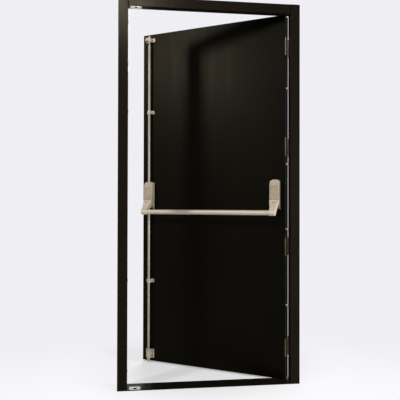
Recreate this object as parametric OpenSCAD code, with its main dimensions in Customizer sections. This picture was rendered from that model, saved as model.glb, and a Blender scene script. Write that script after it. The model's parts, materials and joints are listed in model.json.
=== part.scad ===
// Single steel fire exit door in its folded steel frame, with a push bar panic device
// and vertical bolts on the inner face. Millimetres, +Z up, +X towards the hinges,
// +Y towards the outside. The origin is under the middle of the threshold.
// The leaf is drawn shut and then swung open to its rest angle.

/* [Frame] */
// Overall width of the frame
frame_w = 995; // [900:5:1200]
// Overall height of the frame
frame_h = 2095; // [1980:5:2300]
// Depth of the frame through the wall
frame_d = 85; // [85:1:140]
// Width of the frame face seen from inside
face_w = 53; // [45:1:70]
// Step of the rebate that the leaf shuts into
rebate_w = 16; // [14:1:22]
// Setback of the shut leaf from the back of the frame
leaf_set = 2; // [0:0.5:6]
// Sheet thickness of the frame
frame_sheet = 1.5; // [1.2:0.1:2]
// Width of the return lips at the wall
frame_lip = 16; // [10:1:22]
// Outer radius of the folds
bend_r = 2; // [1.6:0.1:3]
// Thickness of the flat threshold plate
threshold_t = 4; // [3:0.5:6]
// Reach of the threshold plate past the back of the frame
threshold_out = 17; // [0:1:30]
// Thickness of the seal on the stop
seal_t = 2.7; // [2:0.1:4]
// Diameter of the wall fixing holes
fixing_d = 10.5; // [8:0.5:13]

/* [Leaf] */
// Thickness of the leaf
leaf_t = 45; // [40:1:50]
// Sheet thickness of the leaf skins
leaf_sheet = 1.2; // [1:0.1:1.6]
// Gap between the leaf and the lock side rebate
lock_gap = 3.5; // [3:0.5:5]
// Gap between the leaf and the hinge side rebate
hinge_gap = 5.5; // [5.4:0.1:7]
// Gap between the leaf and the head rebate
head_gap = 4; // [3:0.5:6]
// Gap between the leaf and the threshold
sill_gap = 5; // [4:0.5:8]
// Angle that the leaf stands open at rest
open_angle = 31; // [0:1:90]
// Width of the folded stiles inside the leaf
stile_w = 40; // [30:1:60]

/* [Hinges] */
// Height of a hinge
hinge_h = 100; // [80:2:120]
// Thickness of a hinge flap
flap_t = 2.5; // [2:0.1:2.6]
// Outer radius of the knuckles
knuckle_r = 6; // [5.5:0.5:9]
// Radius of the hinge pins
pin_r = 3.5; // [3:0.25:4.5]
// Distance of the end hinges from the ends of the leaf
hinge_inset = 176.5; // [150:0.5:220]
// Diameter of the dog bolts on the hinge edge
dog_d = 12; // [8:1:14]
// Reach of the dog bolts out of the leaf edge
dog_reach = 13; // [10:1:16]
// Distance of the inner dog bolts from mid height
dog_inner = 184; // [160:2:200]
// Distance of the outer dog bolts from mid height
dog_outer = 610; // [500:2:700]

/* [Push bar] */
// Height of the push bar axis above the floor
bar_z = 941; // [900:1:1000]
// Distance of the push bar axis from the leaf when pushed in
bar_n = 80; // [76:1:86]
// Diameter of the push bar tube
bar_d = 28; // [24:1:32]
// Wall of the push bar tube
bar_wall = 2; // [1.5:0.25:3]
// Angle that the push bar springs out when released
bar_swing = 25; // [18:1:26]
// Width of the device cases
case_w = 54; // [54:1:62]
// Depth of the device cases
case_d = 38; // [38:1:44]
// Wall of the case covers
case_wall = 2.5; // [2:0.1:3]
// Distance of the passive case centre from the hinge edge
passive_inset = 52; // [40:1:80]

/* [Bolts] */
// Distance of the bolt rods from the lock edge
rod_inset = 53; // [45:1:70]
// Distance of the bolt rods from the leaf face
rod_n = 22; // [22:0.5:24]
// Diameter of the bolt rods
rod_d = 14; // [10:1:16]
// Diameter of the bolts
bolt_d = 16; // [14:1:18]
// Height of the upper rod guide
upper_guide_z = 1562; // [1300:1:1800]
// Height of the lower rod guide
lower_guide_z = 510; // [300:1:700]

/* [Hidden] */
$fn = 64;
eps = 0.01;
run = 0.05;
paint = [0.11, 0.10, 0.085];
silver = [0.76, 0.71, 0.64];
steel = [0.66, 0.65, 0.62];
rubber = [0.06, 0.06, 0.06];
wool = [0.55, 0.52, 0.40];

// Frame planes
front_y = -frame_d / 2;
back_y = frame_d / 2;
seal_gap = 0.3;
sill_y = back_y + threshold_out;
keep_hole_d = 22;
keep_margin = 4.5;
stop_least = rod_n - seal_t - seal_gap + keep_hole_d / 2 + keep_margin;
stop_d = max(frame_d - leaf_set - leaf_t - seal_t - seal_gap, stop_least);
stop_y = front_y + stop_d;
leaf_in = stop_y + seal_t + seal_gap;
leaf_out = leaf_in + leaf_t;
clear_x = frame_w / 2 - face_w;
reb_x = clear_x + rebate_w;
soffit_z = frame_h - face_w;
reb_z = soffit_z + rebate_w;
fixing_y = front_y + stop_d / 2;
seal_u0 = 2;
seal_u1 = rebate_w - hinge_gap - 0.5;

// Leaf edges with the leaf shut
leaf_x0 = -reb_x + lock_gap;
leaf_x1 = reb_x - hinge_gap;
leaf_z0 = threshold_t + sill_gap;
leaf_z1 = reb_z - head_gap;
leaf_mid = (leaf_z0 + leaf_z1) / 2;
skin_lip = 12;
skin_split = leaf_in + bend_r;
stile_e = 2 * leaf_sheet + 0.2;
stile_y0 = leaf_in + leaf_sheet;
stile_y1 = leaf_out - leaf_sheet;
stile_sheet = 1.5;
edge_run = 0.7;
edge_lip = hinge_gap - edge_run;

// Hinges
knuckles = 5;
knuckle_gap = 0.4;
knuckle_clear = 0.8;
knuckle_h = hinge_h / knuckles;
pin_x = (reb_x + leaf_x1) / 2;
pin_y = max(back_y, leaf_out) + knuckle_r + knuckle_clear;
pin_head_r = pin_r + 1.8;
pin_head_h = 2.5;
flap_y0 = leaf_in + 1.5;
hinge_step = (leaf_z1 - leaf_z0 - 2 * hinge_inset) / 3;
hinge_zs = [for (k = [0 : 3]) leaf_z1 - hinge_inset - k * hinge_step];
hinge_notch = hinge_h / 2 + 3;
dog_zs = [for (k = [dog_outer, dog_inner, -dog_inner, -dog_outer]) leaf_mid + k];
dog_y = (leaf_in + leaf_out) / 2;
dog_root = 18;
dog_flange_t = 2;
dog_hole_r = dog_d / 2 + 4;
wiper_h = hinge_gap - edge_run;
wiper_y0 = dog_y + dog_hole_r + 1.5;
wiper_y1 = min(leaf_out, back_y - bend_r) - leaf_sheet - 1.5;
fixing_zs = [for (k = [-930, -450, 450, 930]) leaf_mid + k * frame_h / 2095];

// Device cases, as distances n from the leaf face and heights z
active_x = leaf_x0 + rod_inset;
passive_x = leaf_x1 - passive_inset;
pivot_n = 9;
pivot_z = bar_z + 80;
case_z0 = bar_z + 18;
case_z1 = bar_z + 186;
bevel_n = case_d - 14;
bevel_z = case_z1 - 31;
mouth_n = case_d - 28;
mouth_z = pivot_z - 7;
slant_z = bar_z + 62;
arch = 8;
spindle_r = 4;
base_t = 2;

// Push bar arms
socket_r = bar_d / 2 + 2.5;
socket_w = 32;
socket_shift = 1;
socket_end = 10;
hub_r = 6.5;
cheek_x = 16.5;
cheek_t = 4;
arm_wall = 3;
taper_z0 = bar_z + 28;
taper_z1 = bar_z + 66;
arm_len = norm([bar_n - pivot_n, bar_z - pivot_z]);
arm_a = atan2(bar_z - pivot_z, bar_n - pivot_n);
mouth_gap = 0.6;
slant = [case_d - mouth_n, slant_z - case_z0];
arm_n0 = case_d + mouth_gap * norm(slant) / slant[1];
apron_drop = (case_d + 0.3 - pivot_n - (arm_n0 - pivot_n) * cos(bar_swing)) / sin(bar_swing);
apron_z = pivot_z - max(apron_drop, 6);
mouth_edge = [case_d - case_wall - pivot_n, pivot_z - mouth_z];
mouth_a = atan2(mouth_edge[0], mouth_edge[1]);
cheek_w = min(3, norm(mouth_edge) * sin(mouth_a - 90 - arm_a - bar_swing) - 1);
groove_w = 20;
groove_h = 4.5;
groove_d = arm_wall + 1;
groove_z = bar_z + 58;

// Crank, racks and pinion in the active case
crank_r = case_d - case_wall - pivot_n - 4.5;
crank_pin_r = 1.75;
crank_lobe_r = 3.6;
crank_angle = bar_swing / 2;
throw = 2 * crank_r * sin(crank_angle);
tooth_m = 1.5;
teeth = 12;
pitch_r = tooth_m * teeth / 2;
tooth_pitch = PI * tooth_m;
pinion_z = pivot_z + 54;
rack_n0 = rod_n - 5;
rack_n1 = rod_n + 5;
rack_root = pitch_r + 1.6;
rack_back = 15;
rack_top_z = pinion_z + 24;
rack_low_z = pivot_z - 39;
rack_end_h = 10;
crank_n = pivot_n + crank_r * cos(crank_angle);
crank_z = pivot_z - crank_r * sin(crank_angle);
fork_half = 4.4;
slot_half = crank_pin_r + 0.15;
lug_z = rack_low_z + rack_end_h + 18;
spring_r = 4.5;
spring_wire = 1.6;
spring_turns = 5;

// Rods, bolts and keeps
keep_t = 1.5;
sole_t = 2.5;
bolt_rest_gap = 2;
top_tip_z = soffit_z - keep_t - bolt_rest_gap;
bottom_tip_z = threshold_t + sole_t + bolt_rest_gap + 3.1;
top_bolt_h = 42;
bottom_bolt_h = 62;
neck_r = 4;
cone_h = 16;
neck_h = 12;
tip_h = 6;
top_hole_d = bolt_d + 3;
bolt_y = leaf_in - rod_n;
bottom_guide_h = 54;
bottom_guide_z = bottom_tip_z + 45.4;
top_guide_h = 22;
top_guide_z = top_tip_z - 23;
socket_floor = 1;
trip_n = 14;
trip_z = top_guide_z + 3;
trip_x0 = -27;
trip_x1 = -13;
trip_pin_r = 2.5;
trip_top = top_tip_z - 5;
trip_lean = 8;

// Swings what is drawn on the shut leaf to its rest angle
module swing() {
  translate([pin_x, pin_y, 0]) rotate([0, 0, -open_angle]) translate([-pin_x, -pin_y, 0]) children();
}

// Extrudes a (y, z) outline along X
module along_x(x0, x1) {
  translate([x0, 0, 0]) rotate([90, 0, 90]) linear_extrude(x1 - x0) children();
}

// Extrudes an (n, z) outline, n out of the leaf face, along X
module across(x0, x1) {
  translate([x0, leaf_in, 0]) rotate([90, 0, 90]) linear_extrude(x1 - x0) mirror([1, 0]) children();
}

// Extrudes an (x, z) outline out of the leaf face from n0 to n1
module outward(n0, n1) {
  translate([0, leaf_in - n0, 0]) rotate([90, 0, 0]) linear_extrude(n1 - n0) children();
}

// Upright cylinder on a rod's axis
module upright(x, n, z0, z1, r0, r1) {
  translate([x, leaf_in - n, z0]) cylinder(h = z1 - z0, r1 = r0, r2 = r1);
}

// What a rounded outer corner takes off an outline, q pointing out of the corner
module corner_cut(p, q, r) {
  translate([p[0] - q[0] * r, p[1] - q[1] * r]) difference() {
    translate([q[0] > 0 ? 0 : -r - 1, q[1] > 0 ? 0 : -r - 1]) square(r + 1);
    circle(r);
  }
}

// Two circles joined by their outer tangents
module link2d(p, rp, q, rq) {
  d = norm(q - p);
  a = atan2(q[1] - p[1], q[0] - p[0]);
  b = acos((rp - rq) / d);
  union() {
    polygon([p + rp * [cos(a + b), sin(a + b)], q + rq * [cos(a + b), sin(a + b)],
      q + rq * [cos(a - b), sin(a - b)], p + rp * [cos(a - b), sin(a - b)]]);
    translate(p) circle(rp);
    translate(q) circle(rq);
  }
}

// Rectangle with round corners, centred
module round_rect(w, h, r) {
  square([w, h - 2 * r], center = true);
  square([w - 2 * r, h], center = true);
  for (x = [-1, 1], y = [-1, 1]) translate([x * (w / 2 - r), y * (h / 2 - r)]) circle(r);
}

// Folded frame section, u from the wall towards the opening, v from front to back
module section_outline(e) {
  u1 = face_w - e;
  u2 = face_w - rebate_w - e;
  polygon([[e, e], [u1, e], [u1, stop_d - e], [u2, stop_d - e], [u2, frame_d - e], [e, frame_d - e]]);
}

module frame_section() {
  difference() {
    section_outline(0);
    section_outline(frame_sheet);
    translate([-1, frame_lip]) square([frame_sheet + 2, frame_d - 2 * frame_lip]);
    corner_cut([face_w, 0], [1, -1], bend_r);
    corner_cut([face_w, stop_d], [1, 1], bend_r);
    corner_cut([face_w - rebate_w, frame_d], [1, 1], bend_r);
    corner_cut([0, 0], [-1, -1], bend_r);
    corner_cut([0, frame_d], [-1, 1], bend_r);
  }
}

module jamb() {
  difference() {
    translate([-frame_w / 2, front_y, 0]) linear_extrude(frame_h) frame_section();
    for (z = fixing_zs) translate([-clear_x, fixing_y, z]) rotate([0, 90, 0])
      cylinder(h = 4 * frame_sheet, d = fixing_d, center = true);
  }
}

module lock_jamb() {
  color(paint) jamb();
}

module hinge_jamb() {
  color(paint) difference() {
    mirror([1, 0, 0]) jamb();
    for (z = dog_zs) translate([reb_x, dog_y, z]) rotate([0, 90, 0])
      cylinder(h = 4 * frame_sheet, r = dog_hole_r, center = true);
  }
}

module head_section() {
  translate([front_y, frame_h]) rotate(-90) frame_section();
}

module head() {
  color(paint) difference() {
    union() {
      along_x(-clear_x, clear_x) head_section();
      along_x(-reb_x, reb_x) intersection() {
        head_section();
        translate([stop_y, soffit_z]) square([frame_d, face_w]);
      }
    }
    translate([active_x, bolt_y, soffit_z]) cylinder(h = 4 * frame_sheet, d = top_hole_d, center = true);
  }
}

module threshold() {
  color(paint) difference() {
    union() {
      along_x(-clear_x, clear_x) difference() {
        translate([front_y, 0]) square([sill_y - front_y, threshold_t]);
        corner_cut([front_y, threshold_t], [-1, 1], bend_r);
        corner_cut([sill_y, threshold_t], [1, 1], bend_r);
      }
      along_x(-reb_x, reb_x) difference() {
        translate([stop_y, 0]) square([sill_y - stop_y, threshold_t]);
        corner_cut([sill_y, threshold_t], [1, 1], bend_r);
      }
    }
    translate([active_x, bolt_y, socket_floor]) cylinder(h = threshold_t, d = keep_hole_d);
  }
}

// Seal strip across the stop, from the opening side edge u0 to u1
module seal_section(u0, u1) {
  difference() {
    translate([u0, 0]) square([u1 - u0, seal_t]);
    corner_cut([u0, seal_t], [-1, 1], seal_t / 2);
    corner_cut([u1, seal_t], [1, 1], seal_t / 2);
  }
}

module jamb_seal() {
  translate([clear_x, stop_y, threshold_t]) linear_extrude(soffit_z + seal_u1 - threshold_t)
    seal_section(seal_u0, seal_u1);
}

module hinge_seal() {
  color(rubber) jamb_seal();
}

module lock_seal() {
  color(rubber) mirror([1, 0, 0]) jamb_seal();
}

module head_seal() {
  color(rubber) along_x(-clear_x - seal_u0, clear_x + seal_u0) translate([stop_y, soffit_z])
    mirror([1, -1]) seal_section(seal_u0, seal_u1);
}

// Soft strip on the hinge side rebate, cut away at the hinges
module rebate_wiper() {
  color(rubber) difference() {
    translate([reb_x, 0, threshold_t]) linear_extrude(reb_z - threshold_t) difference() {
      translate([-wiper_h, wiper_y0]) square([wiper_h, wiper_y1 - wiper_y0]);
      corner_cut([-wiper_h, wiper_y0], [-1, -1], 1);
      corner_cut([-wiper_h, wiper_y1], [-1, 1], 1);
    }
    for (z = hinge_zs) translate([reb_x - hinge_gap, wiper_y0 - 1, z - hinge_notch])
      cube([2 * hinge_gap, wiper_y1 - wiper_y0 + 2, 2 * hinge_notch]);
  }
}

module top_keep() {
  color(silver) difference() {
    translate([active_x, front_y + stop_d / 2 + 0.5, soffit_z - keep_t]) linear_extrude(keep_t)
      round_rect(60, stop_d - 4, 3);
    translate([active_x, bolt_y, soffit_z - keep_t - 1]) cylinder(h = keep_t + 2, d = top_hole_d);
  }
}

module bottom_keep() {
  color(silver) difference() {
    translate([active_x, front_y + stop_d / 2 + 6, threshold_t]) linear_extrude(sole_t)
      round_rect(60, stop_d + 8, 3);
    translate([active_x, bolt_y, threshold_t - 1]) cylinder(h = sole_t + 2, d = keep_hole_d);
  }
}

// Knuckle k of the hinge at height z
function knuckle_z(z, k) = z - hinge_h / 2 + k * knuckle_h;

// One flap on the plane x0, with the knuckles of the given parity
module flap(z, x0, parity) {
  difference() {
    union() {
      translate([x0, flap_y0, z - hinge_h / 2]) cube([flap_t, pin_y - flap_y0, hinge_h]);
      for (k = [parity : 2 : knuckles - 1]) translate([pin_x, pin_y, knuckle_z(z, k) + knuckle_gap / 2])
        cylinder(h = knuckle_h - knuckle_gap, r = knuckle_r);
    }
    for (k = [1 - parity : 2 : knuckles - 1]) translate([pin_x, pin_y, knuckle_z(z, k) - knuckle_gap / 2])
      cylinder(h = knuckle_h + knuckle_gap, r = knuckle_r + knuckle_gap);
    translate([pin_x, pin_y, z - hinge_h]) cylinder(h = 2 * hinge_h, r = pin_r + run);
  }
}

module hinge_frame_flap(i) {
  color(steel) flap(hinge_zs[i], reb_x - flap_t, 0);
}

module hinge_door_flap(i) {
  color(steel) swing() flap(hinge_zs[i], leaf_x1, 1);
}

module hinge_pin(i) {
  z = hinge_zs[i];
  color(steel) translate([pin_x, pin_y, 0]) {
    translate([0, 0, z - hinge_h / 2]) cylinder(h = hinge_h, r = pin_r);
    for (s = [-1, 1]) translate([0, 0, z + s * (hinge_h / 2 + pin_head_h / 2)])
      cylinder(h = pin_head_h, r = pin_head_r, center = true);
  }
}

// Leaf envelope with rounded face edges, inset by e on every side
module leaf_block(e) {
  x0 = leaf_x0 + e;
  x1 = leaf_x1 - e;
  z0 = leaf_z0 + e;
  z1 = leaf_z1 - e;
  y0 = leaf_in + e;
  y1 = leaf_out - e;
  r = max(bend_r - e, 0.3);
  intersection() {
    translate([0, 0, z0]) linear_extrude(z1 - z0) difference() {
      translate([x0, y0]) square([x1 - x0, y1 - y0]);
      for (sx = [-1, 1], sy = [-1, 1]) corner_cut([sx > 0 ? x1 : x0, sy > 0 ? y1 : y0], [sx, sy], r);
    }
    along_x(x0, x1) difference() {
      translate([y0, z0]) square([y1 - y0, z1 - z0]);
      for (sy = [-1, 1], sz = [-1, 1]) corner_cut([sy > 0 ? y1 : y0, sz > 0 ? z1 : z0], [sy, sz], r);
    }
  }
}

// Slab of the leaf between two depths, inset by e from the edges
module leaf_slab(e, y0, y1) {
  translate([leaf_x0 + e, y0, leaf_z0 + e])
    cube([leaf_x1 - leaf_x0 - 2 * e, y1 - y0, leaf_z1 - leaf_z0 - 2 * e]);
}

module leaf_inner_skin() {
  color(paint) swing() difference() {
    union() {
      intersection() {
        leaf_block(0);
        leaf_slab(-1, leaf_in - 1, skin_split);
      }
      leaf_slab(leaf_sheet, leaf_in + leaf_sheet, leaf_in + skin_lip);
    }
    leaf_slab(2 * leaf_sheet, leaf_in + leaf_sheet, leaf_in + skin_lip + 1);
  }
}

// Lip of the outer skin that narrows the gap at the hinges, cut away at each of them
module hinge_edge_lip() {
  difference() {
    translate([0, 0, leaf_z0 + bend_r]) linear_extrude(leaf_z1 - leaf_z0 - 2 * bend_r) {
      translate([leaf_x1 - bend_r, leaf_out - bend_r]) square(bend_r);
      translate([leaf_x1 - bend_r, leaf_out - leaf_sheet]) square([bend_r + edge_lip, leaf_sheet]);
    }
    for (z = hinge_zs) translate([leaf_x1, leaf_in, z - hinge_notch])
      cube([hinge_gap, leaf_t + 1, 2 * hinge_notch]);
  }
}

module leaf_outer_skin() {
  color(paint) swing() difference() {
    union() {
      leaf_block(0);
      hinge_edge_lip();
    }
    leaf_slab(leaf_sheet, leaf_in - 1, leaf_out - leaf_sheet);
    leaf_slab(-1, leaf_in - 1, skin_split);
    for (z = dog_zs) translate([leaf_x1, dog_y, z]) rotate([0, 90, 0])
      cylinder(h = 4 * leaf_sheet, r = dog_d / 2 + run, center = true);
  }
}

// Folded channel stile, open towards the middle of the leaf, drawn at the hinge edge
module stile(x1) {
  z0 = leaf_z0 + stile_e;
  translate([0, 0, z0]) linear_extrude(leaf_z1 - leaf_z0 - 2 * stile_e) difference() {
    translate([x1 - stile_w, stile_y0]) square([stile_w, stile_y1 - stile_y0]);
    translate([x1 - stile_w - 1, stile_y0 + stile_sheet])
      square([stile_w + 1 - stile_sheet, stile_y1 - stile_y0 - 2 * stile_sheet]);
  }
}

module hinge_stile() {
  color(steel) swing() difference() {
    stile(leaf_x1 - stile_e);
    for (z = dog_zs) translate([leaf_x1 - stile_e, dog_y, z]) rotate([0, 90, 0])
      cylinder(h = 4 * stile_sheet, r = dog_d / 2 + run, center = true);
  }
}

module lock_stile() {
  color(steel) swing() translate([leaf_x0 + leaf_x1, 0, 0]) mirror([1, 0, 0]) stile(leaf_x1 - stile_e);
}

module leaf_core() {
  x0 = leaf_x0 + stile_e + stile_w;
  x1 = leaf_x1 - stile_e - stile_w;
  z0 = leaf_z0 + stile_e;
  color(wool) swing() translate([x0, stile_y0, z0])
    cube([x1 - x0, stile_y1 - stile_y0, leaf_z1 - leaf_z0 - 2 * stile_e]);
}

module dog_bolts() {
  color(silver) swing() for (z = dog_zs) translate([leaf_x1, dog_y, z]) rotate([0, 90, 0]) {
    translate([0, 0, -dog_root]) cylinder(h = dog_root + dog_reach - 2, d = dog_d);
    translate([0, 0, dog_reach - 2]) cylinder(h = 2, d1 = dog_d, d2 = dog_d - 3);
    translate([0, 0, -dog_root]) cylinder(h = dog_flange_t, d = dog_d + 6);
  }
}

// Side view of a case, inset by e, reaching out through the mouth when open
module case_side(e, open) {
  b = [case_z1 - bevel_z, case_d - bevel_n];
  s = e * norm(b) / b[0];
  top = case_z1 - e;
  n_top = bevel_n - s + e * b[1] / b[0];
  z_bev = bevel_z - s * b[0] / b[1] + e * b[0] / b[1];
  low = open ? case_z0 - 20 : case_z0;
  polygon(open
    ? [[-1, low], [-1, top], [n_top, top], [case_d - e, z_bev], [case_d - e, mouth_z],
      [case_d + 1, mouth_z], [case_d + 1, low]]
    : [[0, low], [0, top], [n_top, top], [case_d - e, z_bev], [case_d - e, slant_z], [mouth_n, low]]);
}

// Front view of a case with its arched top, inset by e
module case_front(x, e) {
  half = case_w / 2;
  r = (half * half + arch * arch) / (2 * arch);
  intersection() {
    translate([x - half + e, case_z0 - 30]) square([case_w - 2 * e, case_z1 - case_z0 + 60]);
    union() {
      translate([x, case_z1 - r]) circle(r - e, $fn = 128);
      translate([x - half, case_z0 - 30]) square([case_w, case_z1 - r - case_z0 + 30]);
    }
  }
}

module cover(x) {
  difference() {
    intersection() {
      across(x - case_w / 2, x + case_w / 2) case_side(0, false);
      outward(-1, case_d + 1) case_front(x, 0);
    }
    intersection() {
      across(x - case_w / 2, x + case_w / 2) case_side(case_wall, true);
      outward(-1, case_d + 1) case_front(x, case_wall);
    }
  }
}

module active_cover() {
  color(silver) swing() difference() {
    cover(active_x);
    upright(active_x, rod_n, case_z1 - 30, case_z1 + 1, rod_d / 2 + 0.5, rod_d / 2 + 0.5);
  }
}

module passive_cover() {
  color(silver) swing() cover(passive_x);
}

// Folded base channel whose flanges carry the spindle
module case_base(x) {
  half = case_w / 2 - case_wall - 0.2;
  z0 = case_z0 + 6;
  z1 = case_z1 - arch - 6;
  difference() {
    union() {
      outward(0, base_t) translate([x - half, z0]) square([2 * half, z1 - z0]);
      for (s = [-1, 1]) translate([s * (half - base_t / 2), 0, 0]) across(x - base_t / 2, x + base_t / 2)
        polygon([[0, z0], [0, z1], [12, z1], [24, bevel_z - 6], [24, pivot_z], [14, z0 + 10], [8, z0]]);
    }
    across(x - case_w, x + case_w) translate([pivot_n, pivot_z]) circle(spindle_r + run);
  }
}

module active_base() {
  color(steel) swing() {
    difference() {
      case_base(active_x);
      outward(-1, base_t + 1) translate([active_x, pinion_z]) circle(spindle_r + run);
    }
    across(active_x - 8, active_x + 8) translate([base_t - eps, lug_z]) square([rack_n1 - base_t, 3]);
  }
}

module passive_base() {
  color(steel) swing() case_base(passive_x);
}

module spindle(x) {
  half = case_w / 2 - case_wall - 0.3;
  across(x - half, x + half) translate([pivot_n, pivot_z]) circle(spindle_r);
}

module active_spindle() {
  color(steel) swing() spindle(active_x);
}

module passive_spindle() {
  color(steel) swing() spindle(passive_x);
}

// Draws in an arm's own plane, from its pivot along the arm and out of its face
module on_arm() {
  translate([pivot_n, pivot_z]) rotate(arm_a) children();
}

// Side view of the arm outside the case
module arm_side() {
  intersection() {
    link2d([pivot_n, pivot_z], socket_r, [bar_n, bar_z], socket_r);
    polygon([[arm_n0, apron_z], [arm_n0, slant_z], [arm_n0 - 2 * slant[0], slant_z - 2 * slant[1]],
      [bar_n + 60, slant_z - 2 * slant[1]], [bar_n + 60, apron_z]]);
  }
}

// Hollow in the back of the arm, up to the bar socket
module arm_hollow() {
  difference() {
    on_arm() translate([-20, -60]) square([arm_len + 20, 60 + socket_r - arm_wall]);
    translate([bar_n, bar_z]) circle(socket_r);
  }
}

// Cheek that joins the hub to the back of the arm face
module cheek_side() {
  w = socket_r - arm_wall + eps;
  on_arm() union() {
    circle(hub_r);
    polygon([[0, -hub_r], [0, cheek_w], [34, cheek_w], [46, w], [arm_len - 10, w], [arm_len - 10, -hub_r]]);
  }
}

// Front view of an arm, as wide as the case at its top and narrow at the bar, inset by e
module arm_front(x, e) {
  half = case_w / 2 - e;
  s0 = x + socket_shift - socket_w / 2 + e;
  s1 = x + socket_shift + socket_w / 2 - e;
  polygon([[x - half, taper_z1 + 40], [x - half, taper_z1], [s0, taper_z0], [s0, bar_z - 40],
    [s1, bar_z - 40], [s1, taper_z0], [x + half, taper_z1], [x + half, taper_z1 + 40]]);
}

// Arm at x whose bar socket opens towards side s
module arm(x, s) {
  groove_t = (pivot_z + socket_r * cos(arm_a) - groove_z) / -sin(arm_a);
  difference() {
    union() {
      difference() {
        intersection() {
          across(x - case_w / 2, x + case_w / 2) arm_side();
          outward(0, bar_n + 60) arm_front(x, 0);
        }
        intersection() {
          across(x - case_w / 2, x + case_w / 2) arm_hollow();
          outward(-20, bar_n + 60) arm_front(x, arm_wall);
        }
      }
      intersection() {
        union() {
          across(x - cheek_x - cheek_t, x - cheek_x) cheek_side();
          across(x + cheek_x, x + cheek_x + cheek_t) cheek_side();
        }
        outward(-20, bar_n + 60) arm_front(x, eps);
      }
    }
    across(x - case_w, x + case_w) translate([pivot_n, pivot_z]) circle(spindle_r + run);
    across(s > 0 ? x + socket_shift - socket_w / 2 + socket_end : x - case_w,
      s > 0 ? x + case_w : x + socket_shift + socket_w / 2 - socket_end)
      translate([bar_n, bar_z]) circle(bar_d / 2 + run);
    across(x - groove_w / 2 - 3, x + groove_w / 2 - 3) on_arm()
      translate([groove_t - groove_h / 2, socket_r - groove_d]) square([groove_h, groove_d + 1]);
  }
}

module active_arm() {
  pin_tip = rack_root + 0.3;
  color(silver) swing() {
    arm(active_x, 1);
    across(active_x + cheek_x, active_x + cheek_x + cheek_t) difference() {
      link2d([pivot_n, pivot_z], hub_r, [crank_n, crank_z], crank_lobe_r);
      translate([pivot_n, pivot_z]) circle(spindle_r + run);
    }
    across(active_x + pin_tip, active_x + cheek_x + eps) translate([crank_n, crank_z]) circle(crank_pin_r);
  }
}

module passive_arm() {
  color(silver) swing() arm(passive_x, -1);
}

module push_bar() {
  x0 = active_x + socket_shift - socket_w / 2 + socket_end;
  x1 = passive_x + socket_shift + socket_w / 2 - socket_end;
  color(silver) swing() across(x0, x1) translate([bar_n, bar_z]) difference() {
    circle(bar_d / 2);
    circle(bar_d / 2 - bar_wall);
  }
}

// Pinion outline with trapezoid teeth, a gap on each side facing the racks
module pinion_outline() {
  root = pitch_r - 1.9;
  tip = pitch_r + 1.3;
  step = 360 / teeth;
  polygon([for (i = [0 : teeth - 1], p = [[root, -12], [tip, -3], [tip, 3], [root, 12]])
    p[0] * [cos((i + 0.5) * step + p[1]), sin((i + 0.5) * step + p[1])]]);
}

// Rack teeth facing the pinion from the side s, for steps k0 to k1 of the tooth pitch
module rack_teeth(s, k0, k1) {
  half = tooth_pitch / 4 - 0.175;
  slope = tan(20);
  tip = pitch_r - 1.2;
  for (k = [k0 : k1]) translate([active_x, pinion_z + k * tooth_pitch]) polygon([
    [s * tip, -half + slope * 1.2], [s * tip, half - slope * 1.2],
    [s * (rack_root + eps), half + slope * 1.6], [s * (rack_root + eps), -half - slope * 1.6]]);
}

module pinion_stud() {
  color(steel) swing() {
    outward(0, base_t) translate([active_x, pinion_z]) circle(spindle_r);
    outward(base_t, rack_n0 - 0.2) translate([active_x, pinion_z]) circle(spindle_r + 2);
    outward(rack_n0 - 0.2, rack_n1) translate([active_x, pinion_z]) circle(spindle_r);
    outward(rack_n1, rack_n1 + 1.5) translate([active_x, pinion_z]) circle(spindle_r + 1.5);
  }
}

module drive_pinion() {
  color(steel) swing() outward(rack_n0, rack_n1 - 0.2) translate([active_x, pinion_z]) difference() {
    pinion_outline();
    circle(spindle_r + run);
  }
}

module upper_rack() {
  z_end = rack_top_z - rack_end_h;
  fork_z0 = crank_z - fork_half;
  color(steel) swing() {
    outward(rack_n0, rack_n1) {
      rack_teeth(1, -3, 1);
      translate([active_x + rack_root, fork_z0]) square([rack_back - rack_root, rack_top_z - fork_z0]);
      translate([active_x - 6.5, z_end]) square([rack_back + 6.5, rack_end_h]);
    }
    across(active_x + rack_root, active_x + rack_back) difference() {
      translate([rack_n0, fork_z0]) square([crank_n + 2.2 - rack_n0, 2 * fork_half]);
      translate([crank_n - crank_pin_r - 0.4, crank_z - slot_half]) square([20, 2 * slot_half]);
    }
  }
}

module lower_rack() {
  color(steel) swing() outward(rack_n0, rack_n1) {
    rack_teeth(-1, -1, 3);
    translate([active_x - rack_back, rack_low_z])
      square([rack_back - rack_root, pinion_z + 4 * tooth_pitch - rack_low_z]);
    translate([active_x - rack_back, rack_low_z]) square([rack_back + 8, rack_end_h]);
  }
}

// Helical compression spring, swept as rings of points along its coil
module return_spring() {
  sides = 8;
  rings = spring_turns * 12;
  wire = spring_wire / 2;
  z0 = rack_low_z + rack_end_h + wire;
  rise = lug_z - z0 - wire;
  points = [for (i = [0 : rings], j = [0 : sides - 1])
    let (a = 360 * spring_turns * i / rings, b = 360 * j / sides, r = spring_r + wire * cos(b))
    [r * cos(a), r * sin(a), z0 + rise * i / rings + wire * sin(b)]];
  sidewalls = [for (i = [0 : rings - 1], j = [0 : sides - 1])
    let (k = (j + 1) % sides) [i * sides + j, i * sides + k, (i + 1) * sides + k, (i + 1) * sides + j]];
  caps = [[for (j = [sides - 1 : -1 : 0]) j], [for (j = [0 : sides - 1]) rings * sides + j]];
  color(steel) swing() translate([active_x, leaf_in - rod_n, 0])
    polyhedron(points, concat(sidewalls, caps), convexity = 10);
}

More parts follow.
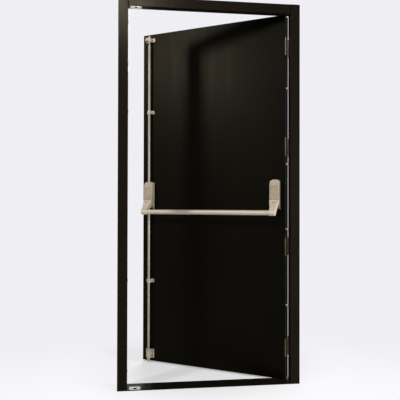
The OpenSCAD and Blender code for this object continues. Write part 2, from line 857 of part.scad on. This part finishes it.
module upper_rod() {
  z0 = rack_top_z;
  z1 = top_tip_z - top_bolt_h - cone_h - neck_h + 4;
  color(silver) swing() {
    upright(active_x, rod_n, z0, z1, rod_d / 2, rod_d / 2);
    upright(active_x, rod_n, z1, z1 + cone_h, rod_d / 2, neck_r);
    upright(active_x, rod_n, z1 + cone_h, z1 + cone_h + neck_h, neck_r, neck_r);
  }
}

module top_bolt() {
  z0 = top_tip_z - top_bolt_h;
  color(silver) swing() difference() {
    union() {
      upright(active_x, rod_n, z0, top_tip_z - tip_h, bolt_d / 2, bolt_d / 2);
      upright(active_x, rod_n, top_tip_z - tip_h, top_tip_z, bolt_d / 2, bolt_d / 2 - 3);
    }
    upright(active_x, rod_n, z0 - 1, z0 + 4, neck_r + run, neck_r + run);
  }
}

module lower_rod() {
  z1 = bottom_tip_z + bottom_bolt_h + cone_h / 2;
  color(silver) swing() {
    upright(active_x, rod_n, z1, rack_low_z, rod_d / 2, rod_d / 2);
    upright(active_x, rod_n, z1 - cone_h / 2, z1, neck_r, rod_d / 2);
    upright(active_x, rod_n, z1 - cone_h / 2 - 4, z1 - cone_h / 2, neck_r, neck_r);
  }
}

module bottom_bolt() {
  z1 = bottom_tip_z + bottom_bolt_h;
  color(silver) swing() difference() {
    union() {
      upright(active_x, rod_n, bottom_tip_z + tip_h, z1, bolt_d / 2, bolt_d / 2);
      upright(active_x, rod_n, bottom_tip_z, bottom_tip_z + tip_h, bolt_d / 2 - 3, bolt_d / 2);
    }
    upright(active_x, rod_n, z1 - 4, z1 + 1, neck_r + run, neck_r + run);
  }
}

// Saddle bracket on the leaf face with a round bore for a rod
module saddle(z, w, h, bore_r) {
  plate = 3;
  hump = bore_r + 3.4;
  difference() {
    union() {
      outward(0, plate) translate([active_x, z]) round_rect(w, h, 5);
      outward(plate - eps, rod_n) translate([active_x - hump, z - h / 2]) square([2 * hump, h]);
      upright(active_x, rod_n, z - h / 2, z + h / 2, hump, hump);
    }
    upright(active_x, rod_n, z - h, z + h, bore_r, bore_r);
  }
}

module upper_rod_guide() {
  color(silver) swing() saddle(upper_guide_z, 50, 20, rod_d / 2 + run);
}

module lower_rod_guide() {
  color(silver) swing() saddle(lower_guide_z, 51, 22, rod_d / 2 + run);
}

module bottom_guide() {
  color(silver) swing() saddle(bottom_guide_z, 56, bottom_guide_h, bolt_d / 2 + run);
}

module top_guide() {
  left = -30;
  color(silver) swing() difference() {
    union() {
      saddle(top_guide_z, 56, top_guide_h, bolt_d / 2 + run);
      outward(0, 4) translate([active_x + left, top_guide_z - top_guide_h / 2])
        square([20, top_guide_h + 9]);
      across(active_x + left, active_x + left + 2.5) polygon([[0, trip_z - 9], [0, trip_z + 16],
        [8, trip_z + 16], [trip_n + 5, trip_z + 6], [trip_n + 5, trip_z - 9]]);
    }
    across(active_x + left - 1, active_x - bolt_d / 2 - 1) translate([trip_n, trip_z])
      circle(trip_pin_r + run);
  }
}

module trip_pin() {
  color(steel) swing() across(active_x - 30, active_x - bolt_d / 2 - 1.2)
    translate([trip_n, trip_z]) circle(trip_pin_r);
}

module trip_lever() {
  half = 4;
  len = trip_top - trip_z;
  color(silver) swing() across(active_x + trip_x0, active_x + trip_x1) difference() {
    translate([trip_n, trip_z]) union() {
      circle(6);
      rotate(-trip_lean) difference() {
        translate([-half, 0]) square([2 * half, len]);
        corner_cut([half, len], [1, 1], half - 1);
        corner_cut([-half, len], [-1, 1], half - 1);
      }
    }
    translate([trip_n, trip_z]) circle(trip_pin_r + run);
  }
}

lock_jamb();
hinge_jamb();
head();
threshold();
lock_seal();
hinge_seal();
head_seal();
rebate_wiper();
top_keep();
bottom_keep();
for (i = [0 : 3]) {
  hinge_frame_flap(i);
  hinge_door_flap(i);
  hinge_pin(i);
}
leaf_inner_skin();
leaf_outer_skin();
leaf_core();
hinge_stile();
lock_stile();
dog_bolts();
active_base();
active_cover();
active_spindle();
active_arm();
pinion_stud();
drive_pinion();
upper_rack();
lower_rack();
return_spring();
passive_base();
passive_cover();
passive_spindle();
passive_arm();
push_bar();
upper_rod();
lower_rod();
top_bolt();
bottom_bolt();
upper_rod_guide();
lower_rod_guide();
bottom_guide();
top_guide();
trip_lever();
trip_pin();
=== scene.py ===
"""Looks of the fire exit door: materials, small fasteners, floor, light and camera."""
import json
import math

import bmesh
import bpy
from mathutils import Matrix, Vector


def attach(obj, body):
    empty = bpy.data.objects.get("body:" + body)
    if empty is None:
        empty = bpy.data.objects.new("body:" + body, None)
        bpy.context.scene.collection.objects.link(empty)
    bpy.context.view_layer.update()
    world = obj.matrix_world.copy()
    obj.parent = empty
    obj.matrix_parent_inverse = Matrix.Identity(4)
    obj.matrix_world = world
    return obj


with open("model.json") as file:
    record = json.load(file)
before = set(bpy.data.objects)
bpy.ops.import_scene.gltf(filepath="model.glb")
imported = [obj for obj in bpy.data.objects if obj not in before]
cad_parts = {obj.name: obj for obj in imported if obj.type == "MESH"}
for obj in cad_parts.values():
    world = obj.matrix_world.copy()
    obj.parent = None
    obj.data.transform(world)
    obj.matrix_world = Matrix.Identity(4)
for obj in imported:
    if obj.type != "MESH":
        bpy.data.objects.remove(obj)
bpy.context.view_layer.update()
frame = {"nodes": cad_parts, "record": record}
scene = bpy.context.scene

MM = 0.001

# Sizes of the part that the fasteners and seams are placed by, in millimetres
FRAME_W = 995.0
FRAME_H = 2095.0
FRAME_D = 85.0
FACE_W = 53.0
REBATE_W = 16.0
STOP_D = 35.0
SEAL_SPACE = 3.0
HINGE_GAP = 5.5
PIN_PROUD = 6.8
ROD_INSET = 56.5
FLAP_T = 2.5
KEEP_T = 1.5
THRESHOLD_T = 4.0
SOLE_T = 2.5
GUIDE_FOOT_T = 3.0
MID_Z = 1031.5
OPEN_ANGLE = math.radians(31)
HINGE_STEPS = (-846, -282, 282, 846)
FIXING_STEPS = (-930, -450, 450, 930)

# Places that follow from them, with the leaf shut
FRONT_Y = -FRAME_D / 2
CLEAR_X = FRAME_W / 2 - FACE_W
REBATE_X = CLEAR_X + REBATE_W
SOFFIT_Z = FRAME_H - FACE_W
FIXING_Y = FRONT_Y + STOP_D / 2
LEAF_IN = FRONT_Y + STOP_D + SEAL_SPACE
LEAF_X1 = REBATE_X - HINGE_GAP
PIN_X = LEAF_X1 + HINGE_GAP / 2
PIN_Y = FRAME_D / 2 + PIN_PROUD
ROD_X = ROD_INSET - REBATE_X
SOLE_Z = THRESHOLD_T + SOLE_T

# Edges and seams in the materials, in metres
EDGE_R = 0.0008
# Reach of the paler edges on the silver, a painted highlight that also stands for light wear
SHEEN_AND_WEAR_REACH = 0.0025
SEAM_HALF_W = 0.003
BEVEL_SAMPLES = 6


def srgb(*rgb):
    """Linear colour of 8-bit sRGB values, with alpha."""
    linear = []
    for v in rgb:
        c = v / 255
        linear.append(c / 12.92 if c <= 0.04045 else ((c + 0.055) / 1.055) ** 2.4)
    return (*linear, 1.0)


PAINT_SHEEN = (1.0, 0.86, 0.60, 1.0)
SEAM_TONE = srgb(8, 6, 4)
# Paler silver along edges: a painted highlight that also stands for light wear
SHEEN_AND_WEAR_SILVER = srgb(214, 203, 184)


class Nodes:
    """Adds nodes to a node tree and joins them."""

    def __init__(self, tree):
        self.tree = tree

    def add(self, kind, **settings):
        node = self.tree.nodes.new(kind)
        for key, value in settings.items():
            setattr(node, key, value)
        return node

    def feed(self, socket, value):
        """Gives an input a plain value, or links it to another node's output."""
        if isinstance(value, bpy.types.NodeSocket):
            self.tree.links.new(value, socket)
        else:
            socket.default_value = value

    def calc(self, operation, a, b=0.0):
        node = self.add("ShaderNodeMath", operation=operation)
        self.feed(node.inputs[0], a)
        self.feed(node.inputs[1], b)
        return node.outputs[0]

    def measure(self, operation, a, b):
        """One number from two vectors."""
        node = self.add("ShaderNodeVectorMath", operation=operation)
        self.feed(node.inputs[0], a)
        self.feed(node.inputs[1], b)
        return node.outputs["Value"]

    def mix(self, fac, a, b):
        """Colour a where fac is zero, and colour b where it is one."""
        node = self.add("ShaderNodeMix", data_type="RGBA")
        self.feed(node.inputs[0], fac)
        self.feed(node.inputs[6], a)
        self.feed(node.inputs[7], b)
        return node.outputs[2]

    def between(self, value, reach, ends, interpolation="LINEAR"):
        """Goes from the first end to the second while value goes through its reach."""
        node = self.add("ShaderNodeMapRange", interpolation_type=interpolation)
        self.feed(node.inputs["Value"], value)
        names = ("From Min", "From Max", "To Min", "To Max")
        for name, number in zip(names, (*reach, *ends)):
            self.feed(node.inputs[name], number)
        return node.outputs["Result"]


class Maker(Nodes):
    """Builds one node material around a Principled shader."""

    def __init__(self, name):
        self.mat = bpy.data.materials.new(name)
        self.mat.use_nodes = True
        super().__init__(self.mat.node_tree)
        self.bsdf = self.tree.nodes["Principled BSDF"]
        self.coord = self.add("ShaderNodeTexCoord").outputs["Object"]

    def scaled(self, scale):
        """Object coordinates, scaled along each axis."""
        node = self.add("ShaderNodeMapping")
        self.feed(node.inputs["Scale"], scale)
        self.feed(node.inputs["Vector"], self.coord)
        return node.outputs["Vector"]

    def noise(self, scale, detail, rough=0.5, vector=None):
        node = self.add("ShaderNodeTexNoise")
        self.feed(node.inputs["Scale"], scale)
        self.feed(node.inputs["Detail"], detail)
        self.feed(node.inputs["Roughness"], rough)
        self.feed(node.inputs["Vector"], vector or self.coord)
        return node.outputs["Fac"]

    def ramp(self, fac, stops):
        """Colours or greys by position, from a list of (position, value)."""
        node = self.add("ShaderNodeValToRGB")
        ramp = node.color_ramp
        while len(ramp.elements) < len(stops):
            ramp.elements.new(0.5)
        for element, (position, value) in zip(ramp.elements, stops):
            element.position = position
            element.color = value if isinstance(value, tuple) else (value, value, value, 1)
        self.feed(node.inputs["Fac"], fac)
        return node.outputs["Color"]

    def spread(self, noise, ends):
        """A value between two ends by the middle range of a noise."""
        return self.between(noise, (0.3, 0.7), ends)

    def rounded(self, radius):
        """The normal, rounded off along edges."""
        node = self.add("ShaderNodeBevel", samples=BEVEL_SAMPLES)
        self.feed(node.inputs["Radius"], radius)
        return node.outputs["Normal"]

    def edge_sheen_and_wear(self, most):
        """Rises to most along edges, where the rounded normal turns away from the face's own: a
        painted highlight along edges that also stands for light wear.
        """
        geometry = self.add("ShaderNodeNewGeometry")
        turn = self.measure("DOT_PRODUCT", self.rounded(SHEEN_AND_WEAR_REACH), geometry.outputs["Normal"])
        return self.ramp(turn, [(0.75, most), (0.995, 0.0)])

    def head_seams(self):
        """One along the two joints between the head and the jambs, otherwise zero."""
        axes = self.add("ShaderNodeSeparateXYZ")
        self.feed(axes.inputs[0], self.coord)
        aside = self.calc("SUBTRACT", self.calc("ABSOLUTE", axes.outputs["X"]), CLEAR_X * MM)
        near = self.calc("LESS_THAN", self.calc("ABSOLUTE", aside), SEAM_HALF_W)
        above = self.calc("GREATER_THAN", axes.outputs["Z"], SOFFIT_Z * MM)
        return self.calc("MULTIPLY", near, above)

    def finish(self, color, roughness, bumps, edge=EDGE_R, **inputs):
        """Joins colour, roughness, (height, strength, depth) bumps and other inputs to the shader."""
        normal = self.rounded(edge) if edge else None
        for height, strength, depth in bumps:
            bump = self.add("ShaderNodeBump")
            self.feed(bump.inputs["Strength"], strength)
            self.feed(bump.inputs["Distance"], depth)
            self.feed(bump.inputs["Height"], height)
            if normal:
                self.feed(bump.inputs["Normal"], normal)
            normal = bump.outputs["Normal"]
        self.feed(self.bsdf.inputs["Normal"], normal)
        self.feed(self.bsdf.inputs["Base Color"], color)
        self.feed(self.bsdf.inputs["Roughness"], roughness)
        for key, value in inputs.items():
            self.feed(self.bsdf.inputs[key.replace("_", " ")], value)
        return self.mat


def powder_paint(name, dark, light, rough, gloss, seams=False):
    """Semi-gloss powder coat: cloudy tone, faint wiped streaks, orange peel and dull head seams."""
    m = Maker(name)
    cloud = m.noise(scale=2.2, detail=4.0, rough=0.55)
    streak = m.noise(scale=3.0, detail=3.0, vector=m.scaled((7.0, 7.0, 0.5)))
    wave = m.noise(scale=60.0, detail=2.0)
    peel = m.noise(scale=520.0, detail=2.0)
    tone = m.ramp(cloud, [(0.30, dark), (0.72, light)])
    tone = m.mix(m.ramp(streak, [(0.35, 0.0), (0.8, 0.35)]), tone, light)
    roughness = m.spread(streak, rough)
    if seams:
        seam = m.head_seams()
        tone = m.mix(seam, tone, SEAM_TONE)
        roughness = m.calc("MAXIMUM", roughness, seam)
    return m.finish(tone, roughness, [(wave, 0.05, 0.002), (peel, 0.10, 0.0004)],
                    Specular_IOR_Level=gloss, Specular_Tint=PAINT_SHEEN)


def silver_paint(name, dark, light, rough, metallic):
    """Satin silver coat with fine flake, soft handling marks, and a paler tone along edges that is a
    painted highlight as well as light wear.
    """
    m = Maker(name)
    cloud = m.noise(scale=28.0, detail=4.0, rough=0.6)
    flake = m.noise(scale=1500.0, detail=1.0)
    tone = m.ramp(cloud, [(0.3, dark), (0.7, light)])
    tone = m.mix(m.ramp(flake, [(0.45, 0.0), (0.75, 0.3)]), tone, light)
    # Edges turn towards a paler silver: painted highlight, also standing for light wear
    tone = m.mix(m.edge_sheen_and_wear(most=0.8), tone, SHEEN_AND_WEAR_SILVER)
    return m.finish(tone, m.spread(cloud, rough), [(flake, 0.08, 0.0002)], Metallic=metallic)


def drawn_metal(name, dark, light, rough, line_scale, metallic):
    """Drawn or brushed metal, whose fine lines run along the axes with the lowest scale."""
    m = Maker(name)
    lines = m.noise(scale=8.0, detail=4.0, rough=0.6, vector=m.scaled(line_scale))
    cloud = m.noise(scale=9.0, detail=3.0)
    tone = m.ramp(cloud, [(0.3, dark), (0.7, light)])
    tone = m.mix(m.ramp(lines, [(0.4, 0.0), (0.75, 0.25)]), tone, dark)
    return m.finish(tone, m.spread(lines, rough), [(lines, 0.06, 0.0003)], Metallic=metallic)


def soft_matt(name, dark, light, grain_scale, depth):
    """Matt rubber or wool with a grain of the given scale."""
    m = Maker(name)
    grain = m.noise(scale=grain_scale, detail=4.0, rough=0.6)
    tone = m.ramp(grain, [(0.3, dark), (0.7, light)])
    return m.finish(tone, m.spread(grain, (0.75, 0.95)), [(grain, 0.3, depth)], edge=None)


def recess_dark(name):
    """Painted shade on the walls and floor of a screw's drive recess."""
    m = Maker(name)
    grain = m.noise(scale=900.0, detail=2.0)
    tone = m.ramp(grain, [(0.3, srgb(30, 28, 24)), (0.7, srgb(52, 49, 43))])
    return m.finish(tone, m.spread(grain, (0.6, 0.8)), [(grain, 0.1, 0.0002)], edge=None)


LOOKS = {
    "frame_paint": (powder_paint, dict(
        dark=srgb(13, 10, 6), light=srgb(20, 16, 11), rough=(0.22, 0.28), gloss=0.054, seams=True)),
    "leaf_paint": (powder_paint, dict(
        dark=srgb(4, 3, 2), light=srgb(8, 7, 4), rough=(0.34, 0.40), gloss=0.046)),
    "wool_core": (soft_matt, dict(
        dark=srgb(150, 140, 100), light=srgb(190, 180, 140), grain_scale=300.0, depth=0.003)),
    "seal_rubber": (soft_matt, dict(
        dark=srgb(18, 18, 18), light=srgb(32, 32, 31), grain_scale=500.0, depth=0.0006)),
    "hinge_steel": (drawn_metal, dict(
        dark=srgb(118, 111, 90), light=srgb(150, 142, 118), rough=(0.42, 0.60),
        line_scale=(30, 30, 30), metallic=0.4)),
    "device_silver": (silver_paint, dict(
        dark=srgb(138, 125, 104), light=srgb(162, 148, 126), rough=(0.42, 0.55), metallic=0.2)),
    # The arms' silver is a lighter copy of the device silver, with painted light for the light from
    # above on their upward-sloping faces
    "arm_silver": (silver_paint, dict(
        dark=srgb(178, 164, 143), light=srgb(200, 186, 164), rough=(0.42, 0.55), metallic=0.2)),
    "bar_aluminium": (drawn_metal, dict(
        dark=srgb(178, 165, 147), light=srgb(187, 174, 156), rough=(0.42, 0.48),
        line_scale=(2, 2, 160), metallic=0.2)),
    "bracket_silver": (silver_paint, dict(
        dark=srgb(140, 131, 113), light=srgb(168, 158, 139), rough=(0.40, 0.52), metallic=0.35)),
    "rod_steel": (drawn_metal, dict(
        dark=srgb(136, 126, 110), light=srgb(158, 147, 130), rough=(0.38, 0.50),
        line_scale=(160, 160, 2), metallic=0.3)),
    "keep_steel": (drawn_metal, dict(
        dark=srgb(178, 172, 156), light=srgb(198, 192, 177), rough=(0.22, 0.34),
        line_scale=(3, 60, 60), metallic=0.9)),
    # The top keep's steel is a paler copy of the keep steel, a painted highlight
    "keep_bright": (drawn_metal, dict(
        dark=srgb(236, 231, 219), light=srgb(246, 242, 233), rough=(0.38, 0.48),
        line_scale=(3, 60, 60), metallic=0.7)),
    "dog_steel": (drawn_metal, dict(
        dark=srgb(214, 212, 206), light=srgb(236, 234, 229), rough=(0.22, 0.32),
        line_scale=(60, 60, 60), metallic=0.3)),
    "inner_steel": (drawn_metal, dict(
        dark=srgb(150, 148, 142), light=srgb(180, 178, 172), rough=(0.40, 0.55),
        line_scale=(40, 40, 40), metallic=0.7)),
    # A painted shade for the recesses of the screws
    "recess_dark": (recess_dark, {}),
}
MATERIALS = {name: make(name, **look) for name, (make, look) in LOOKS.items()}

# Nodes take their slot's look, apart from a few that are lighter than the rest of their slot; for the
# arms and the top keep that lightness is painted light
look_of = {s["node"]: s["material_slot"] for s in frame["record"]["subparts"]}
# The arms take the lighter copy of the silver, painted light
look_of.update(active_arm="arm_silver", passive_arm="arm_silver")
# The top keep takes the paler copy of the keep steel, a painted highlight; the dog bolts take their
# own pale steel
look_of.update(top_keep="keep_bright", dog_bolts="dog_steel")
for node, obj in frame["nodes"].items():
    obj.data.materials.clear()
    obj.data.materials.append(MATERIALS[look_of[node]])


# Screw heads: shares of the radius and height up the side, and shares of the radius in the cross
HEAD_SIDES = 28
HEAD_PROFILE = ((1.0, 0.0), (1.0, 0.35), (0.9, 0.8), (0.74, 1.0))
CROSS_ARM = 0.56
CROSS_HALF = 0.13

# Caps: the straight rim's share of the height, and the radius in millimetres that the dome ends at
CAP_SIDES = 32
CAP_STEPS = 5
CAP_RIM = 0.3
CAP_TIP_R = 0.001

# Directions out of the surfaces that carry fasteners
LEFT = (-1, 0, 0)
RIGHT = (1, 0, 0)
INWARD = (0, -1, 0)
DOWN = (0, 0, -1)
UP = (0, 0, 1)


def point(x, y, z):
    """A place in metres from millimetres."""
    return Vector((x * MM, y * MM, z * MM))


def at(x, y, z, direction):
    """A place in millimetres, with +Z turned to the given direction."""
    turned = Vector(direction).to_track_quat("Z", "Y").to_matrix().to_4x4()
    return Matrix.Translation(point(x, y, z)) @ turned


def leaf_place():
    """Moves what is placed on the shut leaf to the leaf's rest angle."""
    pin = point(PIN_X, PIN_Y, 0)
    return Matrix.Translation(pin) @ Matrix.Rotation(-OPEN_ANGLE, 4, "Z") @ Matrix.Translation(-pin)


def add_rings(bm, place, rings, sides):
    """A side and a bottom through (radius, height) rings. Returns the top ring, which is open."""
    turns = [2 * math.pi * k / sides for k in range(sides)]
    loops = []
    for r, z in rings:
        loops.append([bm.verts.new(place @ point(r * math.cos(a), r * math.sin(a), z)) for a in turns])
    for low, high in zip(loops, loops[1:]):
        for k in range(sides):
            after = (k + 1) % sides
            bm.faces.new((low[k], low[after], high[after], high[k]))
    bm.faces.new(list(reversed(loops[0])))
    return loops[-1]


def add_screw(bm, place, turn, radius, height, sink):
    """Domed screw head with a cross recess, seated at place with +Z out of the surface. The recess's
    walls and floor take the second material, a painted shade.
    """
    spin = place @ Matrix.Rotation(turn, 4, "Z")
    top = add_rings(bm, spin, [(radius * r, height * z) for r, z in HEAD_PROFILE], HEAD_SIDES)
    arm = radius * CROSS_ARM
    half = radius * CROSS_HALF
    cross = [(arm, -half), (arm, half), (half, half), (half, arm), (-half, arm), (-half, half),
             (-arm, half), (-arm, -half), (-half, -half), (-half, -arm), (half, -arm), (half, -half)]
    rim = [bm.verts.new(spin @ point(x, y, height)) for x, y in cross]
    floor = [bm.verts.new(spin @ point(x, y, height - sink)) for x, y in cross]
    count = len(cross)
    edges = [bm.edges.get((top[k], top[(k + 1) % HEAD_SIDES])) for k in range(HEAD_SIDES)]
    edges += [bm.edges.new((rim[k], rim[(k + 1) % count])) for k in range(count)]
    bmesh.ops.triangle_fill(bm, use_beauty=True, edges=edges, normal=spin.to_3x3() @ Vector(UP))
    # The recess's walls and floor take the second material, a painted shade
    for k in range(count):
        after = (k + 1) % count
        wall = bm.faces.new((rim[k], rim[after], floor[after], floor[k]))
        wall.material_index = 1
    bottom = bm.faces.new(floor)
    bottom.material_index = 1


def add_cap(bm, place, radius, height):
    """Shallow domed cap, seated at place with +Z out of the surface."""
    rings = [(radius, 0.0), (radius, height * CAP_RIM)]
    for k in range(1, CAP_STEPS + 1):
        a = math.pi / 2 * k / CAP_STEPS
        rise = CAP_RIM + (1 - CAP_RIM) * math.sin(a)
        rings.append((radius * math.cos(a) + CAP_TIP_R, height * rise))
    bm.faces.new(add_rings(bm, place, rings, CAP_SIDES))


def finish_piece(name, bm, materials, body):
    """Turns the mesh into a piece that rides on a body."""
    bmesh.ops.recalc_face_normals(bm, faces=bm.faces)
    mesh = bpy.data.meshes.new(name)
    bm.to_mesh(mesh)
    bm.free()
    for material in materials:
        mesh.materials.append(MATERIALS[material])
    piece = bpy.data.objects.new(name, mesh)
    scene.collection.objects.link(piece)
    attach(piece, body)


# Fasteners, in millimetres. The crosses of the screws are turned by uneven steps, in radians,
# because screws stop where they are tight.
LEAF = leaf_place()

# Hinge screws: (y, z) on a flap, with low heads that stay inside the gap between the flaps
FLAP_SCREWS = ((13, -36), (33, -36), (23, -13), (23, 13), (13, 36), (33, 36))
FLAP_HEAD = dict(radius=3.9, height=0.2, sink=0.18)
HINGE_TURN = 0.7
FLAP_TURN = 1.9
LEAF_TURN = 0.4

flap_frame = bmesh.new()
flap_leaf = bmesh.new()
for i, step in enumerate(HINGE_STEPS):
    for j, (dy, dz) in enumerate(FLAP_SCREWS):
        y = LEAF_IN + dy
        z = MID_Z + step + dz
        turn = HINGE_TURN * i + FLAP_TURN * j
        add_screw(flap_frame, at(REBATE_X - FLAP_T, y, z, LEFT), turn, **FLAP_HEAD)
        add_screw(flap_leaf, LEAF @ at(LEAF_X1 + FLAP_T, y, z, RIGHT), turn + LEAF_TURN, **FLAP_HEAD)
finish_piece("hinge_frame_screws", flap_frame, ("hinge_steel", "recess_dark"), "frame")
finish_piece("hinge_door_screws", flap_leaf, ("hinge_steel", "recess_dark"), "leaf")

# Keep screws: (x, y) from the rod and the front of the frame
TOP_SCREWS = ((-23, 6), (23, 6), (-23, 30), (23, 30))
TOP_HEAD = dict(radius=3.2, height=0.5, sink=0.45)
TOP_TURN = 0.8
SOLE_SCREWS = ((-23, 6), (23, 6), (-23, 41), (23, 41))
SOLE_HEAD = dict(radius=3.4, height=0.5, sink=0.45)
SOLE_TURN = 1.1

keep_screws = bmesh.new()
for k, (dx, dy) in enumerate(TOP_SCREWS):
    place = at(ROD_X + dx, FRONT_Y + dy, SOFFIT_Z - KEEP_T, DOWN)
    add_screw(keep_screws, place, TOP_TURN * k, **TOP_HEAD)
for k, (dx, dy) in enumerate(SOLE_SCREWS):
    place = at(ROD_X + dx, FRONT_Y + dy, SOLE_Z, UP)
    add_screw(keep_screws, place, SOLE_TURN * k, **SOLE_HEAD)
finish_piece("keep_screws", keep_screws, ("keep_steel", "recess_dark"), "frame")

# Caps over the wall fixings
CAP_R = 7.5
CAP_H = 1.6

caps = bmesh.new()
for step in FIXING_STEPS:
    for side, direction in ((-1, RIGHT), (1, LEFT)):
        add_cap(caps, at(side * CLEAR_X, FIXING_Y, MID_Z + step, direction), CAP_R, CAP_H)
finish_piece("fixing_caps", caps, ("frame_paint",), "frame")

# Guide screws: (x, z) from the rod and the floor
GUIDE_SCREWS = ((-18.5, 1562), (18.5, 1562), (-19, 510), (19, 510), (-21, 40), (21, 40),
                (-21, 74), (21, 74), (20, 2015.5))
GUIDE_HEAD = dict(radius=3.6, height=1.8, sink=1.1)
GUIDE_TURN = 0.9

guide_screws = bmesh.new()
for k, (dx, z) in enumerate(GUIDE_SCREWS):
    place = LEAF @ at(ROD_X + dx, LEAF_IN - GUIDE_FOOT_T, z, INWARD)
    add_screw(guide_screws, place, GUIDE_TURN * k, **GUIDE_HEAD)
finish_piece("guide_screws", guide_screws, ("rod_steel", "recess_dark"), "leaf")


# Floor and world, in metres
WHITE = srgb(239, 239, 243)
# Paler white for the floor in front of the door, a painted pool of light
PAINTED_POOL_WHITE = srgb(251, 251, 253)
FLOOR_GREY = (0.75, 0.75, 0.76, 1)
FLOOR_HALF = 20.0
FLOOR_DROP = 0.0005
WORLD_TINT = (1.0, 0.985, 0.96, 1)
WORLD_STRENGTH = 0.20

# The floor's white is palest in front of the door, a painted pool of light, and the floor shows
# shadows around the door
PAINTED_POOL_PLACE = (0.0, -1.2, 0.0)
PAINTED_POOL_REACH = (1.0, 2.5)
SHADOW_PLACE = (0.0, 0.42, 0.0)
SHADOW_REACH = (0.35, 0.9)
SHADOW_GLOW = (0.42, 1.0)

# Lamps: name, place, target, size in metres, power in watts
LAMPS = (
    ("key", (-2.43, -1.37, 2.70), (-0.1, 0.3, 1.7), (0.36, 0.50), 50.0),
    ("front", (-0.47, -2.6, 3.08), (-0.4, 0.0, 2.0), (0.3, 0.3), 27.0),
    ("top", (-0.7, -1.5, 3.8), (0.0, 0.1, 1.0), (1.8, 1.2), 12.0),
    ("fill", (2.3, -1.6, 0.9), (-0.3, 0.4, 1.0), (0.6, 0.8), 88.0),
    ("back", (0.3, 3.0, 3.2), (0.0, 0.0, 0.2), (1.6, 1.6), 90.0),
)

# Camera: place in metres, turns in radians, focal length and picture width in pixels
CAMERA_PLACE = (-0.4049, -2.7747, 0.9865)
CAMERA_YAW = -0.1261
CAMERA_PITCH = 0.0087
CAMERA_ROLL = -0.0022
SENSOR_W = 36.0
FOCAL_PX = 510.83
IMAGE_W = 400


def seen_directly(nodes):
    """One for camera, glossy and transmission rays, otherwise zero."""
    path = nodes.add("ShaderNodeLightPath")
    seen = path.outputs["Is Camera Ray"]
    for name in ("Is Glossy Ray", "Is Transmission Ray"):
        seen = nodes.calc("MAXIMUM", seen, path.outputs[name])
    return seen


def fade_from(nodes, place, reach, ends):
    """A smooth change from the first end to the second between two distances from a place."""
    coord = nodes.add("ShaderNodeTexCoord").outputs["Object"]
    return nodes.between(nodes.measure("DISTANCE", coord, place), reach, ends, "SMOOTHSTEP")


def end_in_mix(nodes, output, fac, first, second):
    """Ends a tree in a mix of two shaders."""
    blend = nodes.add("ShaderNodeMixShader")
    nodes.feed(blend.inputs[0], fac)
    nodes.feed(blend.inputs[1], first.outputs[0])
    nodes.feed(blend.inputs[2], second.outputs[0])
    nodes.feed(nodes.add(output).inputs["Surface"], blend.outputs[0])


def floor_material():
    """Lit grey for bounced light and shadows, and a white where it is seen, paler in front of the door
    as a painted pool of light.
    """
    mat = bpy.data.materials.new("floor")
    mat.use_nodes = True
    mat.node_tree.nodes.clear()
    nodes = Nodes(mat.node_tree)
    lit = nodes.add("ShaderNodeBsdfDiffuse")
    nodes.feed(lit.inputs["Color"], FLOOR_GREY)
    white = nodes.add("ShaderNodeEmission")
    # The white is paler in front of the door: a painted pool of light
    tone = nodes.mix(fade_from(nodes, PAINTED_POOL_PLACE, PAINTED_POOL_REACH, (0.0, 1.0)), PAINTED_POOL_WHITE, WHITE)
    nodes.feed(white.inputs["Color"], tone)
    glow = fade_from(nodes, SHADOW_PLACE, SHADOW_REACH, SHADOW_GLOW)
    share = nodes.calc("MULTIPLY", seen_directly(nodes), glow)
    end_in_mix(nodes, "ShaderNodeOutputMaterial", share, lit, white)
    return mat


def make_floor():
    half = FLOOR_HALF
    mesh = bpy.data.meshes.new("floor")
    corners = [(-half, -half, 0), (half, -half, 0), (half, half, 0), (-half, half, 0)]
    mesh.from_pydata(corners, [], [(0, 1, 2, 3)])
    mesh.materials.append(floor_material())
    obj = bpy.data.objects.new("floor", mesh)
    obj.location.z = -FLOOR_DROP
    scene.collection.objects.link(obj)


def make_world():
    """Weak even light, and the floor's far white where the world is seen."""
    world = bpy.data.worlds.new("studio")
    world.use_nodes = True
    world.node_tree.nodes.clear()
    nodes = Nodes(world.node_tree)
    light = nodes.add("ShaderNodeBackground")
    nodes.feed(light.inputs["Color"], WORLD_TINT)
    nodes.feed(light.inputs["Strength"], WORLD_STRENGTH)
    white = nodes.add("ShaderNodeBackground")
    nodes.feed(white.inputs["Color"], WHITE)
    end_in_mix(nodes, "ShaderNodeOutputWorld", seen_directly(nodes), light, white)
    scene.world = world


def add_lamp(name, place, target, size, power):
    lamp = bpy.data.lights.new(name, "AREA")
    lamp.shape = "RECTANGLE"
    lamp.size, lamp.size_y = size
    lamp.energy = power
    obj = bpy.data.objects.new(name, lamp)
    obj.location = place
    obj.rotation_euler = (Vector(target) - Vector(place)).to_track_quat("-Z", "Y").to_euler()
    scene.collection.objects.link(obj)


def make_camera():
    data = bpy.data.cameras.new("camera")
    data.sensor_fit = "HORIZONTAL"
    data.sensor_width = SENSOR_W
    data.lens = SENSOR_W * FOCAL_PX / IMAGE_W
    cam = bpy.data.objects.new("camera", data)
    turn = (Matrix.Rotation(CAMERA_YAW, 4, "Z") @ Matrix.Rotation(CAMERA_PITCH, 4, "X")
            @ Matrix.Rotation(CAMERA_ROLL, 4, "Y") @ Matrix.Rotation(math.pi / 2, 4, "X"))
    cam.matrix_world = Matrix.Translation(CAMERA_PLACE) @ turn
    scene.collection.objects.link(cam)
    scene.camera = cam


make_floor()
make_world()
for lamp in LAMPS:
    add_lamp(*lamp)
make_camera()
scene.view_settings.view_transform = "Standard"
